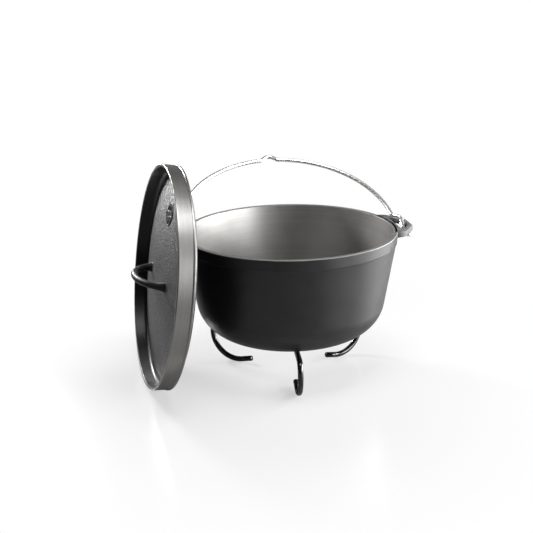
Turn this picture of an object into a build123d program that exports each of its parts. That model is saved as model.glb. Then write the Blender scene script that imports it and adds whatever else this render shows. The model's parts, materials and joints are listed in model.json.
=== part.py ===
from build123d import *
import os
from math import cos, radians, sin, sqrt

# Cast iron camp dutch oven on a bent-wire stand, with a wire bail handle and a loose lid.
# Frame: origin on the ground under the pot's axis, +Z up, +X through the right ear.
# The bail hangs over towards +Y, and the lid stands on its edge at -X, against the left ear.

os.makedirs("parts", exist_ok=True)

# ---------------------------------------------------------------- driving dimensions (mm)
# Pot
rim_height = 188.0
base_height = 56.0
rim_radius = 135.0
rim_land = 5.5
wall_slope = 0.1814
wall_top_radius = 135.55
wall_offset = 6.0
floor_thickness = 6.0
bottom_round = 47.0
band_height = 14.5
band_foot_radius = 133.9
band_step = 0.8
rim_edge_round = 0.8

# Ears, flat cast loops level with the rim
ear_thickness = 7.0
ear_nose = 156.0
ear_nose_half = 15.5
ear_shoulder = 138.0
ear_shoulder_half = 43.5
ear_root = 118.0
ear_root_half = 49.0
slot_inner = 137.5
slot_outer = 149.5
slot_inner_half = 32.0
slot_outer_half = 13.5
slot_corner = 3.0
nose_corner = 8.0
shoulder_corner = 12.0
ear_edge_round = 1.4

# Bail, one length of round wire, at rest it leans back against its stop
bail_wire_radius = 2.5
bail_lean = 64.0
bail_pivot_y = -8.0
bail_arch_radius = 137.2
bail_arch_centre = 14.3
bail_arch_end = 27.0
bail_arch_middle = 50.0
bail_shoulder = (147.0, 18.5)
bail_strand = 143.5
bail_foot_drop = 15.8
bail_foot_end = 153.0
bail_arm_length = 4.0
crimp_rise = 6.5
crimp_top_half = 3.5
crimp_foot_half = 11.0
crimp_lead = 6.0
bend_radius = 4.2

# Stand, three bent wires welded to a small ring
stand_wire_radius = 3.5
seat_gap = 0.3
leg_azimuths = {"front": -96.4, "right": 23.6, "left": 143.6}
leg_contact_radius = 78.5
leg_arc_radius = 35.0
leg_tail_angle = 12.0
leg_tail_length = 14.5
hub_radius = 14.0
weld_radius = 4.6
weld_reach = 3.2
weld_drop = 1.5

# Lid, modelled about its own axis: r outwards, y along the axis, lip at y = 0
lid_lip_radius = 139.6
lid_lip_land = 3.4
lid_band_foot_radius = 138.6
lid_seat_depth = 21.0
lid_flange_radius = 139.4
lid_flange_height = 2.4
lid_flange_flare = 0.5
lid_channel_depth = 16.2
lid_channel_outer = 132.5
lid_channel_round = 5.0
lid_lip_round = 1.2
lid_dome_radius = 122.0
lid_dome_top = 3.0
lid_dome_edge = 14.6
lid_dome_flare = 1.0
lid_plate = 4.0
lid_skirt_outer = 128.6
lid_skirt_inner = 124.6
lid_skirt_depth = 25.0
lid_skirt_draft = 0.4
lid_skirt_root = 1.5
lid_under_margin = 4.0

# Lid handle and badge
handle_half_span = 44.0
handle_top = 24.0
handle_radius = 4.2
handle_sink = 2.0
handle_foot_radius = 7.5
handle_foot_height = 9.0
badge_reach = 85.0
badge_azimuth = 11.0
badge_radius = 14.0
badge_ring = 1.7
badge_height = 0.9
badge_sink = 1.0
badge_bars = 8

# Lid at rest: tipped towards the pot and turned a little towards the front
lid_tilt = 7.8
lid_turn = 4.0
lid_centre_x = -172.4
lid_centre_y = -3.6

# ---------------------------------------------------------------- derived sizes
band_foot = rim_height - band_height
floor_height = base_height + floor_thickness
ear_bottom = rim_height - ear_thickness
bail_pivot_z = rim_height - ear_thickness / 2
stand_arm_z = base_height - seat_gap - stand_wire_radius
dome_sphere = (lid_dome_radius**2 + (lid_dome_edge - lid_dome_top) ** 2) / (
    2 * (lid_dome_edge - lid_dome_top)
)


def wall_radius(z):
    """Outer radius of the tapered wall at height z."""
    return wall_top_radius - wall_slope * (rim_height - z)


def dome_depth(r):
    """Depth of the dome's top surface below the lip at radius r."""
    return lid_dome_top + dome_sphere - sqrt(dome_sphere**2 - r**2)


# ---------------------------------------------------------------- pot
with BuildPart() as pot_outside:
    with BuildSketch(Plane.XZ):
        with BuildLine():
            Polyline(
                (0, base_height),
                (wall_radius(base_height), base_height),
                (wall_radius(band_foot), band_foot),
                (band_foot_radius, band_foot + band_step),
                (rim_radius, rim_height),
                (0, rim_height),
                close=True,
            )
        make_face()
        fillet(vertices().group_by(Axis.Y)[0].sort_by(Axis.X)[-1], bottom_round)
    revolve(axis=Axis.Z)

inner_top_radius = rim_radius - rim_land
inner_floor_radius = inner_top_radius - wall_slope * (rim_height - floor_height)

with BuildPart() as pot_body:
    add(pot_outside.part)
    with BuildSketch(Plane.XZ):
        with BuildLine():
            Polyline(
                (0, floor_height),
                (inner_floor_radius, floor_height),
                (inner_top_radius, rim_height),
                (0, rim_height),
                close=True,
            )
        make_face()
        fillet(vertices().group_by(Axis.Y)[0].sort_by(Axis.X)[-1], bottom_round - wall_offset)
    revolve(axis=Axis.Z, mode=Mode.SUBTRACT)
    rim_edges = edges().filter_by(GeomType.CIRCLE).group_by(Axis.Z)[-1]
    fillet(rim_edges, rim_edge_round)

# ---------------------------------------------------------------- ears
with BuildPart() as right_ear:
    with BuildSketch(Plane.XY.offset(ear_bottom)):
        Polygon(
            (ear_root, -ear_root_half),
            (ear_shoulder, -ear_shoulder_half),
            (ear_nose, -ear_nose_half),
            (ear_nose, ear_nose_half),
            (ear_shoulder, ear_shoulder_half),
            (ear_root, ear_root_half),
            align=None,
        )
        fillet(vertices().group_by(Axis.X)[-1], nose_corner)
        fillet(vertices().filter_by(lambda v: abs(v.X - ear_shoulder) < 0.1), shoulder_corner)
        with BuildSketch(mode=Mode.PRIVATE) as slot:
            Polygon(
                (slot_inner, -slot_inner_half),
                (slot_outer, -slot_outer_half),
                (slot_outer, slot_outer_half),
                (slot_inner, slot_inner_half),
                align=None,
            )
            fillet(slot.vertices().group_by(Axis.X)[-1], slot_corner)
            fillet(slot.vertices().group_by(Axis.X)[0], slot_corner / 2)
        add(slot.sketch, mode=Mode.SUBTRACT)
    extrude(amount=ear_thickness)
    flat_edges = edges().filter_by(lambda e: e.length > 3 and e.center().X > rim_radius)
    fillet(flat_edges.group_by(Axis.Z)[-1], ear_edge_round)
    fillet(edges().filter_by(lambda e: e.center().X > rim_radius).group_by(Axis.Z)[0], ear_edge_round)
    add(pot_outside.part, mode=Mode.SUBTRACT)

with BuildPart() as left_ear:
    mirror(right_ear.part, about=Plane.YZ)

# ---------------------------------------------------------------- bail
lean = radians(bail_lean)
bail_up = Vector(0, sin(lean), cos(lean))
bail_plane = Plane(origin=(0, bail_pivot_y, bail_pivot_z), x_dir=(1, 0, 0), z_dir=Vector(1, 0, 0).cross(bail_up))


def arch_point(u):
    """Point on the arch's centreline at distance u from the middle."""
    return (u, bail_arch_centre + sqrt(bail_arch_radius**2 - u**2))


def arch_tangent(u):
    """Direction of the arch at distance u from the middle, running outwards and down."""
    return Vector(sqrt(bail_arch_radius**2 - u**2), -u) / bail_arch_radius


arch_start = crimp_foot_half + crimp_lead
arch_end_u = sqrt(bail_arch_radius**2 - (bail_arch_end - bail_arch_centre) ** 2)
crimp_level = arch_point(0)[1] + crimp_rise
crimp_foot = Vector(*arch_point(arch_start)) - arch_tangent(arch_start) * crimp_lead
arm_foot = Vector(arch_end_u, bail_arch_end) + arch_tangent(arch_end_u) * bail_arm_length
wire_start = bail_plane.from_local_coords((0, crimp_level))

with BuildPart() as bail_wire:
    with BuildLine(bail_plane) as half_path:
        FilletPolyline(
            (0, crimp_level),
            (crimp_top_half, crimp_level),
            (crimp_foot.X, crimp_foot.Y),
            arch_point(arch_start),
            radius=bend_radius,
        )
        ThreePointArc(
            arch_point(arch_start),
            arch_point(bail_arch_radius * sin(radians(bail_arch_middle))),
            (arch_end_u, bail_arch_end),
        )
        FilletPolyline(
            (arch_end_u, bail_arch_end),
            (arm_foot.X, arm_foot.Y),
            bail_shoulder,
            (bail_strand, -bail_foot_drop),
            (bail_foot_end, -bail_foot_drop),
            radius=bend_radius,
        )
    with BuildSketch(Plane(origin=wire_start, x_dir=bail_up, z_dir=(1, 0, 0))):
        Circle(bail_wire_radius)
    sweep(path=half_path.line)
    mirror(about=Plane.YZ)

# ---------------------------------------------------------------- stand
arc_centre_z = stand_wire_radius + leg_arc_radius
shoulder_radius = stand_arm_z - arc_centre_z
leg_outer = leg_contact_radius + leg_arc_radius
tail = radians(leg_tail_angle)
tail_start = (
    leg_contact_radius - leg_arc_radius * sin(tail),
    arc_centre_z - leg_arc_radius * cos(tail),
)
tail_tip = (
    tail_start[0] - leg_tail_length * cos(tail),
    tail_start[1] + leg_tail_length * sin(tail),
)

with BuildPart() as stand_hub_ring:
    with BuildSketch(Plane.XZ):
        with Locations((hub_radius, stand_arm_z)):
            Circle(stand_wire_radius)
    revolve(axis=Axis.Z)

stand_legs = {}
for leg_name, azimuth in leg_azimuths.items():
    leg_direction = Vector(cos(radians(azimuth)), sin(radians(azimuth)), 0)
    leg_plane = Plane(origin=(0, 0, 0), x_dir=leg_direction, z_dir=leg_direction.cross(Vector(0, 0, 1)))
    tail_run = leg_direction * cos(tail) - Vector(0, 0, 1) * sin(tail)
    with BuildPart() as leg:
        with BuildLine(leg_plane) as leg_path:
            Line(tail_tip, tail_start)
            CenterArc(
                (leg_contact_radius, arc_centre_z),
                leg_arc_radius,
                -90 - leg_tail_angle,
                90 + leg_tail_angle,
            )
            CenterArc((leg_outer - shoulder_radius, arc_centre_z), shoulder_radius, 0, 90)
            Line((leg_outer - shoulder_radius, stand_arm_z), (hub_radius, stand_arm_z))
        with BuildSketch(Plane(origin=leg_plane.from_local_coords(tail_tip), z_dir=tail_run)):
            Circle(stand_wire_radius)
        sweep(path=leg_path.line)
        add(stand_hub_ring.part, mode=Mode.SUBTRACT)
    stand_legs[leg_name] = leg.part

with BuildPart() as stand_welds:
    for azimuth in leg_azimuths.values():
        reach = hub_radius + stand_wire_radius + weld_reach
        at = (reach * cos(radians(azimuth)), reach * sin(radians(azimuth)), stand_arm_z - weld_drop)
        with Locations(at):
            Sphere(weld_radius)
    add(stand_hub_ring.part, mode=Mode.SUBTRACT)
    for leg_part in stand_legs.values():
        add(leg_part, mode=Mode.SUBTRACT)

# ---------------------------------------------------------------- lid
tilt = radians(lid_tilt)
turn = radians(180 + lid_turn)
lid_out = Vector(cos(turn) * cos(tilt), sin(turn) * cos(tilt), sin(tilt))
lid_side = Vector(-sin(turn), cos(turn), 0)
lid_up = lid_out.cross(lid_side)
lid_centre_z = lid_flange_radius * lid_up.Z + lid_seat_depth * lid_out.Z
lid_centre = Vector(lid_centre_x, lid_centre_y, lid_centre_z)
lid_section = Plane(origin=lid_centre, x_dir=lid_up, z_dir=lid_side)
lid_axis = Axis(lid_centre, lid_out)
flange_top = lid_flange_height - lid_seat_depth
under_radius = lid_skirt_inner - lid_under_margin
under_depth = dome_depth(under_radius) + lid_plate

with BuildPart() as lid_body:
    with BuildSketch(lid_section):
        with BuildLine():
            ThreePointArc(
                (0, -lid_dome_top),
                (lid_dome_radius / 2, -dome_depth(lid_dome_radius / 2)),
                (lid_dome_radius, -lid_dome_edge),
            )
            Polyline(
                (lid_dome_radius, -lid_dome_edge),
                (lid_dome_radius + lid_dome_flare, -lid_channel_depth),
                (lid_channel_outer, -lid_channel_depth),
                (lid_lip_radius - lid_lip_land, 0),
                (lid_lip_radius, 0),
                (lid_band_foot_radius, flange_top + lid_flange_flare),
                (lid_flange_radius, flange_top),
                (lid_flange_radius, -lid_seat_depth),
                (lid_skirt_outer, -lid_seat_depth),
                (lid_skirt_outer - lid_skirt_draft, -lid_skirt_depth),
                (lid_skirt_inner, -lid_skirt_depth),
                (lid_skirt_inner - lid_skirt_root, -under_depth),
                (under_radius, -under_depth),
            )
            ThreePointArc(
                (under_radius, -under_depth),
                (lid_dome_radius / 2, -dome_depth(lid_dome_radius / 2) - lid_plate),
                (0, -lid_dome_top - lid_plate),
            )
            Line((0, -lid_dome_top - lid_plate), (0, -lid_dome_top))
        make_face()
    revolve(axis=lid_axis)
    lip_edges = edges().filter_by(GeomType.CIRCLE).filter_by(
        lambda e: abs((e.center() - lid_centre).dot(lid_out)) < 0.01
    )
    fillet(lip_edges, lid_lip_round)
    channel_edge = edges().filter_by(GeomType.CIRCLE).filter_by(
        lambda e: abs(e.radius - lid_channel_outer) < 0.01
    )
    fillet(channel_edge, lid_channel_round)

# ---------------------------------------------------------------- lid handle
handle_plane = Plane(origin=lid_centre, x_dir=lid_side, z_dir=lid_side.cross(lid_out))
handle_base = -dome_depth(handle_half_span) - handle_sink
handle_rise = handle_top - handle_base

with BuildPart() as lid_handle:
    with BuildLine(handle_plane) as handle_path:
        EllipticalCenterArc((0, handle_base), handle_half_span, handle_rise, start_angle=0, arc_size=180)
    handle_start = handle_plane.from_local_coords((handle_half_span, handle_base))
    with BuildSketch(Plane(origin=handle_start, z_dir=lid_out)):
        Circle(handle_radius)
    sweep(path=handle_path.line)
    for side in (-1, 1):
        foot_origin = lid_centre + lid_side * (side * handle_half_span) + lid_out * handle_base
        with BuildSketch(Plane(origin=foot_origin, x_dir=lid_side, z_dir=lid_out)):
            Circle(handle_foot_radius)
        top_origin = foot_origin + lid_out * handle_foot_height
        with BuildSketch(Plane(origin=top_origin, x_dir=lid_side, z_dir=lid_out)):
            Circle(handle_radius)
        loft()
    add(lid_body.part, mode=Mode.SUBTRACT)

# ---------------------------------------------------------------- lid badge
badge_turn = radians(badge_azimuth)
badge_direction = lid_up * cos(badge_turn) + lid_side * sin(badge_turn)
badge_lean = badge_reach / dome_sphere
badge_normal = lid_out * cos(badge_lean) + badge_direction * sin(badge_lean)
badge_origin = lid_centre + badge_direction * badge_reach - lid_out * dome_depth(badge_reach)
badge_plane = Plane(origin=badge_origin - badge_normal * badge_sink, z_dir=badge_normal)

with BuildPart() as lid_badge:
    with BuildSketch(badge_plane):
        Circle(badge_radius)
        Circle(badge_radius - badge_ring, mode=Mode.SUBTRACT)
        Circle(badge_radius / 3)
        Circle(badge_radius / 3 - badge_ring, mode=Mode.SUBTRACT)
        with PolarLocations((badge_radius + badge_radius / 3 - badge_ring) / 2, badge_bars):
            Rectangle(badge_radius * 2 / 3, badge_ring)
    extrude(amount=badge_sink + badge_height)
    add(lid_body.part, mode=Mode.SUBTRACT)

# ---------------------------------------------------------------- export
pot_body.part.label = "pot_body"
export_step(pot_body.part, "parts/pot_body.step")
right_ear.part.label = "right_ear"
export_step(right_ear.part, "parts/right_ear.step")
left_ear.part.label = "left_ear"
export_step(left_ear.part, "parts/left_ear.step")
bail_wire.part.label = "bail_wire"
export_step(bail_wire.part, "parts/bail_wire.step")
stand_hub_ring.part.label = "stand_hub_ring"
export_step(stand_hub_ring.part, "parts/stand_hub_ring.step")
for leg_name, leg_part in stand_legs.items():
    leg_part.label = f"stand_leg_{leg_name}"
    export_step(leg_part, f"parts/stand_leg_{leg_name}.step")
stand_welds.part.label = "stand_welds"
export_step(stand_welds.part, "parts/stand_welds.step")
lid_body.part.label = "lid_body"
export_step(lid_body.part, "parts/lid_body.step")
lid_handle.part.label = "lid_handle"
export_step(lid_handle.part, "parts/lid_handle.step")
lid_badge.part.label = "lid_badge"
export_step(lid_badge.part, "parts/lid_badge.step")
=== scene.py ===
import json
from math import asin, atan2, cos, pi, radians, sin, sqrt, tan

import bmesh
import bpy
from bpy.props import FloatProperty, FloatVectorProperty, IntProperty, PointerProperty
from mathutils import Matrix, Vector


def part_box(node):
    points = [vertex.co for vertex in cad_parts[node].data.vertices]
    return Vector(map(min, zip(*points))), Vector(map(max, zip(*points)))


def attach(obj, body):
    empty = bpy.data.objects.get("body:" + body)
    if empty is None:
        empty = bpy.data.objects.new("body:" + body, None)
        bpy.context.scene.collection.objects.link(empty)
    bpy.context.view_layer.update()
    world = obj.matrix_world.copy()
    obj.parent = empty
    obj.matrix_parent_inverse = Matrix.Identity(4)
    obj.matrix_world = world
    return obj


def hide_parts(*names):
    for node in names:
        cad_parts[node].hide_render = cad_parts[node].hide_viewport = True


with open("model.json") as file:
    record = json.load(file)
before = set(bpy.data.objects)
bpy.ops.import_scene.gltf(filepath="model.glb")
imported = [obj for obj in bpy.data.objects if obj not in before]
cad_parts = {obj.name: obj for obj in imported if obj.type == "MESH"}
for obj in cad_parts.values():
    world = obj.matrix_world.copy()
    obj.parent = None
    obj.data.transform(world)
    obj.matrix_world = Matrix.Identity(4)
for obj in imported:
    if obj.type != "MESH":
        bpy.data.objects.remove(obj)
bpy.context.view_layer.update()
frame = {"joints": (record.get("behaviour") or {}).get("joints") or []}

bl_info = {
    "name": "Camp Dutch Oven",
    "version": (1, 0, 0),
    "blender": (4, 5, 0),
    "location": "3D View > Sidebar > Dutch Oven",
    "description": "Builds a cast iron camp pot with its bail, lid and wire stand around its CAD frame",
    "category": "Object",
}

UP = Vector((0.0, 0.0, 1.0))
ORIGIN = Vector((0.0, 0.0, 0.0))
MERGE = 1e-6          # points nearer than this, in metres, are one point
SHELL_STEPS = 256     # facets round the pot and the lid
RING_STEPS = 96       # facets round the small rings
WHITE = (1.0, 1.0, 1.0, 1.0)


# ---------------------------------------------------------------- sizes and colours

def length(name, description, default):
    """A size in metres that a user can change."""
    return FloatProperty(
        name=name, description=description, default=default, unit="LENGTH", precision=5
    )


def turn(name, description, default):
    """An angle, given in degrees and kept in radians."""
    return FloatProperty(name=name, description=description, default=radians(default), subtype="ANGLE")


def share(name, description, default):
    """A number from nothing to all."""
    return FloatProperty(
        name=name, description=description, default=default, min=0.0, max=1.0, subtype="FACTOR"
    )


def colour(name, description, default):
    """A colour, as linear red, green and blue."""
    return FloatVectorProperty(
        name=name, description=description, default=default, size=3, min=0.0, max=1.0, subtype="COLOR"
    )


class PotSizes(bpy.types.PropertyGroup):
    rim_land: length("Rim width", "Width of the flat top of the wall", 0.0055)
    wall_slope: share("Wall slope", "How much the wall opens per unit of height", 0.1814)
    wall_top: length("Wall radius", "Radius where the tapered wall would meet the rim", 0.13555)
    floor_thickness: length("Floor thickness", "Thickness of the pot's floor", 0.006)
    bottom_round: length("Bottom round", "Outer radius of the bend from the wall to the base", 0.047)
    wall_offset: length("Wall offset", "How much tighter the same bend is inside", 0.006)
    band_height: length("Band height", "Height of the raised band under the rim", 0.0145)
    band_foot: length("Band foot", "Radius of the band at its foot", 0.1339)
    band_step: length("Band step", "Height of the step from the wall to the band", 0.0008)
    edge_round: length("Edge round", "Rounding of the rim's edges", 0.0008)
    skin: colour("Cast skin", "Colour of the seasoned outside", (0.005, 0.005, 0.0052))
    turned: colour("Turned iron", "Colour of the turned inside", (0.20, 0.196, 0.19))
    land_shade: share("Rim shade", "Share of that colour that the rim's flat top keeps", 0.7)


class EarSizes(bpy.types.PropertyGroup):
    root: length("Root radius", "Radius inside the wall where the ear starts", 0.1315)
    root_x: length("Root line x", "Outward place of a point on the ear's straight side", 0.118)
    root_half: length("Root line half width", "Sideways place of the same point", 0.049)
    shoulder: length("Shoulder", "Outward place of the shoulder", 0.138)
    shoulder_half: length("Shoulder half width", "Half width at the shoulder", 0.0435)
    nose: length("Nose", "Outward place of the nose", 0.156)
    nose_half: length("Nose half width", "Half width of the nose", 0.0155)
    slot_inner: length("Slot inner side", "Outward place of the slot's inner side", 0.1375)
    slot_outer: length("Slot outer side", "Outward place of the slot's outer side", 0.1495)
    slot_inner_half: length("Slot inner half width", "Half width of the slot at its inner side", 0.032)
    slot_outer_half: length("Slot outer half width", "Half width of the slot at its outer side", 0.0135)
    shoulder_round: length("Shoulder round", "Radius of the outline's shoulder", 0.012)
    nose_round: length("Nose round", "Radius of the outline's nose", 0.008)
    slot_outer_round: length("Slot outer round", "Radius of the slot's outer corners", 0.003)
    slot_inner_round: length("Slot inner round", "Radius of the slot's inner corners", 0.0015)
    edge_round: length("Edge round", "Rounding of the ear's edges", 0.0014)
    flat_inset: length("Flat inset", "Strip inside the edges that keeps the flats' shading flat", 0.0003)
    skin: colour("Ear skin", "Colour of the ears", (0.08, 0.08, 0.081))


class BailSizes(bpy.types.PropertyGroup):
    wire: length("Wire radius", "Radius of the bail wire", 0.0025)
    lean: turn("Lean", "How far the bail leans back from upright", 64.0)
    arch_radius: length("Arch radius", "Radius of the arch", 0.1372)
    arch_centre: length("Arch centre", "Height of the arch's centre over the pivot", 0.0143)
    arch_end: length("Arch end", "Height where the arch ends", 0.027)
    shoulder_out: length("Shoulder out", "Outward place of the shoulder", 0.147)
    shoulder_up: length("Shoulder up", "Height of the shoulder", 0.0185)
    strand: length("Strand", "Outward place of the strand's lower end", 0.1435)
    foot_drop: length("Foot drop", "Depth of the foot under the pivot", 0.0158)
    foot_end: length("Foot end", "Outward end of the foot", 0.153)
    arm: length("Arm", "Straight run after the arch", 0.004)
    crimp_rise: length("Crimp rise", "Height of the kink at the top", 0.0065)
    crimp_top_half: length("Crimp half width", "Half width of the kink's top", 0.0035)
    crimp_foot_half: length("Crimp foot half width", "Half width of the kink's foot", 0.011)
    crimp_lead: length("Crimp lead", "Straight run beside the kink", 0.006)
    bend: length("Bend radius", "Radius of the wire's small bends", 0.0042)
    steel: colour("Steel", "Colour of the bright wire", (0.86, 0.85, 0.83))


class StandSizes(bpy.types.PropertyGroup):
    wire: length("Wire radius", "Radius of the stand's wire", 0.0035)
    seat_gap: length("Seat gap", "Gap between the arms and the pot", 0.0003)
    contact: length("Foot circle", "Radius of the circle on which the feet stand", 0.0785)
    foot_bend: length("Foot bend", "Radius of the foot's bend", 0.035)
    tail_turn: turn("Tail turn", "How far the tail lifts at the tip", 12.0)
    tail: length("Tail", "Straight run of the tail", 0.0145)
    hub: length("Hub radius", "Radius of the ring that joins the legs", 0.014)
    front_leg: turn("Front leg", "Heading of the front leg from the object's right", -96.4)
    weld: length("Weld radius", "Radius of a weld bead", 0.0046)
    weld_reach: length("Weld reach", "How far a bead's middle is outside the ring", 0.0032)
    weld_drop: length("Weld drop", "How far a bead's middle is under the ring's", 0.0015)
    weld_squash: share("Weld squash", "Height of a bead as a share of its width", 0.86)
    paint: colour("Paint", "Colour of the coated wire", (0.004, 0.004, 0.0045))


class LidSizes(bpy.types.PropertyGroup):
    centre: FloatVectorProperty(
        name="Centre", description="Place of the lid's axis along and across",
        default=(-0.1724, -0.0036), size=2, unit="LENGTH", precision=5,
    )
    tilt: turn("Tilt", "How far the standing lid leans towards the pot", 7.8)
    swing: turn("Turn", "How far the lid is turned towards the front", 4.0)
    lip: length("Lip radius", "Outer radius of the lip", 0.1396)
    lip_land: length("Lip width", "Width of the lip's top", 0.0034)
    band_foot: length("Band foot", "Radius of the lip's band at its foot", 0.1386)
    seat: length("Seat depth", "Depth of the face that sits on the rim", 0.021)
    flange: length("Flange radius", "Outer radius of the flange at the foot", 0.1394)
    flange_height: length("Flange height", "Height of that flange", 0.0024)
    channel: length("Channel depth", "Depth of the channel inside the lip", 0.0162)
    channel_outer: length("Channel radius", "Outer radius of the channel's floor", 0.1325)
    dome: length("Plate radius", "Radius of the raised plate", 0.122)
    dome_top: length("Plate top", "Depth of the plate's middle under the lip", 0.003)
    dome_edge: length("Plate edge", "Depth of the plate's edge under the lip", 0.0146)
    plate: length("Plate thickness", "Thickness of the plate", 0.004)
    under_margin: length("Under margin", "Gap from the skirt to the underside's dome", 0.004)
    turned_reach: length("Turned reach", "How far inside the skirt's outer side the turning goes", 0.006)
    skirt_outer: length("Skirt outer radius", "Outer radius of the ring that sits in the pot", 0.1286)
    skirt_inner: length("Skirt inner radius", "Inner radius of that ring", 0.1246)
    skirt: length("Skirt depth", "Depth of that ring", 0.025)
    plate_step: length("Plate step", "How far the plate's edge spreads down to the channel", 0.001)
    flange_step: length("Flange step", "Height of the slope from the band to the flange", 0.0005)
    skirt_draft: length("Skirt draft", "How much the skirt narrows to its foot", 0.0004)
    skirt_root: length("Skirt root", "How much the skirt's inside narrows to the plate", 0.0015)
    edge_round: length("Edge round", "Rounding of the lip, the plate's edge and the skirt", 0.0012)
    channel_round: length("Channel round", "Radius at the channel's outer side", 0.005)
    seat_round: length("Seat round", "Rounding beside the flange", 0.0006)
    flange_round: length("Flange round", "Rounding of the flange's top edge", 0.0004)
    under_round: length("Under round", "Radius between the skirt and the plate", 0.002)
    skin: colour("Sand cast skin", "Colour of the sand cast plate", (0.016, 0.016, 0.0155))
    turned: colour("Turned band", "Colour of the turned lip and band", (0.24, 0.236, 0.23))
    # The channel's colour is painted shade: far darker than the plate's skin, it stands in for the shade
    # that falls in the recessed channel inside the lip.
    channel_painted_shade: colour("Channel painted shade", "Colour of the channel's painted shade", (0.003, 0.003, 0.003))


class HandleSizes(bpy.types.PropertyGroup):
    half_span: length("Half span", "Half the distance between the feet", 0.044)
    top: length("Top", "Height of the handle over the lip", 0.024)
    bar: length("Bar radius", "Radius of the handle's bar", 0.0042)
    foot: length("Foot radius", "Radius of the flared foot", 0.0075)
    foot_height: length("Foot height", "Height over which the foot flares", 0.0135)
    flare_power: FloatProperty(name="Flare", description="How quickly the foot narrows", default=2.2)
    sink: length("Sink", "How far the foot goes into the plate", 0.002)
    skin: colour("Handle skin", "Colour of the smooth handle", (0.010, 0.010, 0.0105))


class BadgeSizes(bpy.types.PropertyGroup):
    reach: length("Reach", "Distance from the lid's middle", 0.085)
    around: turn("Around", "Turn from the top of the standing lid", 11.0)
    radius: length("Radius", "Outer radius of the badge", 0.014)
    bar: length("Bar width", "Width of the ring and the bars", 0.0017)
    height: length("Height", "How far the badge stands off the plate", 0.0009)
    bar_height: share("Bar height", "Height of the bars as a share of the rings'", 0.9)
    sink: length("Sink", "How far the badge goes into the plate", 0.0006)
    ring_round: length("Ring round", "Rounding of the rings' edges", 0.0004)
    bar_round: length("Bar round", "Rounding of the bars' edges", 0.00035)
    bars: IntProperty(
        name="Bars", description="How many bars join the two rings", default=8, min=3, max=24
    )


class StageSizes(bpy.types.PropertyGroup):
    camera_place: FloatVectorProperty(
        name="Camera place", description="Where the camera stands",
        default=(-0.2944, -1.3852, 0.5737), size=3, unit="LENGTH", precision=4,
    )
    camera_look: FloatVectorProperty(
        name="Camera direction", description="Where the camera looks",
        default=(0.1790, 0.9394, -0.2925), size=3, subtype="DIRECTION",
    )
    camera_roll: turn("Camera roll", "Tilt of the camera about its own line", -1.03)
    lens: FloatProperty(
        name="Lens", description="Focal length", default=79.14, subtype="DISTANCE_CAMERA"
    )
    floor_colour: colour("Floor", "Colour of the pale floor", (0.86, 0.86, 0.86))
    floor_reach: length("Floor reach", "How far the floor goes", 40.0)
    seen_shade: share("Seen shade", "Share of the floor's colour where the floor is looked at", 0.2)
    near_shade: share("Near shade", "Share of it that lights the object from nearby", 0.27)
    far_shade: share("Far shade", "Share of it that lights the object from further off", 0.1)
    floor_glow: share("Floor glow", "Light that the floor gives where it is looked at", 0.57)
    lights_turn: turn("Lights' turn", "How far the lights' front is turned to the object's left", 12.0)


# ---------------------------------------------------------------- modelling helpers

def place(r, z):
    """A point of a section: out from the axis and up along it."""
    return Vector((r, 0.0, z))


def start_wire(point):
    """A new bmesh that holds one point, and that point."""
    bm = bmesh.new()
    return bm, bm.verts.new(point)


def run(bm, last, *points):
    """Straight runs from the last point through these, and the last of them."""
    for point in points:
        new = bm.verts.new(point)
        bm.edges.new((last, new))
        last = new
    return last


def arc(bm, last, centre, angle, steps, axis=(0.0, 1.0, 0.0)):
    """An arc from the last point about a centre, and its end."""
    swept = bmesh.ops.spin(bm, geom=[last], cent=centre, axis=axis, angle=angle, steps=steps)
    return [item for item in swept["geom_last"] if isinstance(item, bmesh.types.BMVert)][0]


def round_corner(bm, corner, radius, segments):
    """Rounds one corner of a wire to a radius."""
    ends = [edge.other_vert(corner).co - corner.co for edge in corner.link_edges]
    bend = pi - ends[0].angle(ends[1])
    bmesh.ops.bevel(
        bm, geom=[corner], offset=radius * tan(bend / 2), offset_type="OFFSET", segments=segments,
        profile=0.5, affect="VERTICES", material=-1, clamp_overlap=False,
    )


def guard_runs(bm, guard=0.0004, shortest=0.002):
    """Adds a point near both ends of each long run, so that shading stays flat along it."""
    for edge in [edge for edge in bm.edges if edge.calc_length() > shortest]:
        near, far = edge.verts
        reach = guard / edge.calc_length()
        rest, _ = bmesh.utils.edge_split(edge, near, reach)
        parts = [part for part in far.link_edges if part in (edge, rest)]
        long_edge = max(parts, key=lambda part: part.calc_length())
        bmesh.utils.edge_split(long_edge, far, guard / long_edge.calc_length())


def spin_full(bm, steps):
    """Turns a section into a closed shell about the Z axis."""
    bmesh.ops.spin(
        bm, geom=bm.verts[:] + bm.edges[:], cent=ORIGIN, axis=UP, angle=2 * pi, steps=steps,
        use_merge=True,
    )
    close_shell(bm)


def close_shell(bm, distance=MERGE):
    """Merges doubles, and turns every face outwards."""
    bmesh.ops.remove_doubles(bm, verts=bm.verts[:], dist=distance)
    bmesh.ops.dissolve_degenerate(bm, edges=bm.edges[:], dist=distance)
    bmesh.ops.recalc_face_normals(bm, faces=bm.faces[:])


def make_piece(bm, name, body, nodes, materials, matrix=None):
    """Puts a finished bmesh in the scene as one smooth piece that rides on a body."""
    if matrix is not None:
        bm.transform(matrix)
    for face in bm.faces:
        face.smooth = True
    mesh = bpy.data.meshes.new(name)
    bm.to_mesh(mesh)
    bm.free()
    for material in materials:
        mesh.materials.append(material)
    piece = bpy.data.objects.new(name, mesh)
    bpy.context.scene.collection.objects.link(piece)
    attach(piece, body)
    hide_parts(*nodes)


def round_edges(bm, edges, radius, segments, **settings):
    """Rounds some edges of a shell to a radius."""
    bmesh.ops.bevel(
        bm, geom=edges, offset=radius, offset_type="OFFSET", segments=segments, profile=0.5,
        affect="EDGES", material=-1, **settings,
    )


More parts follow.
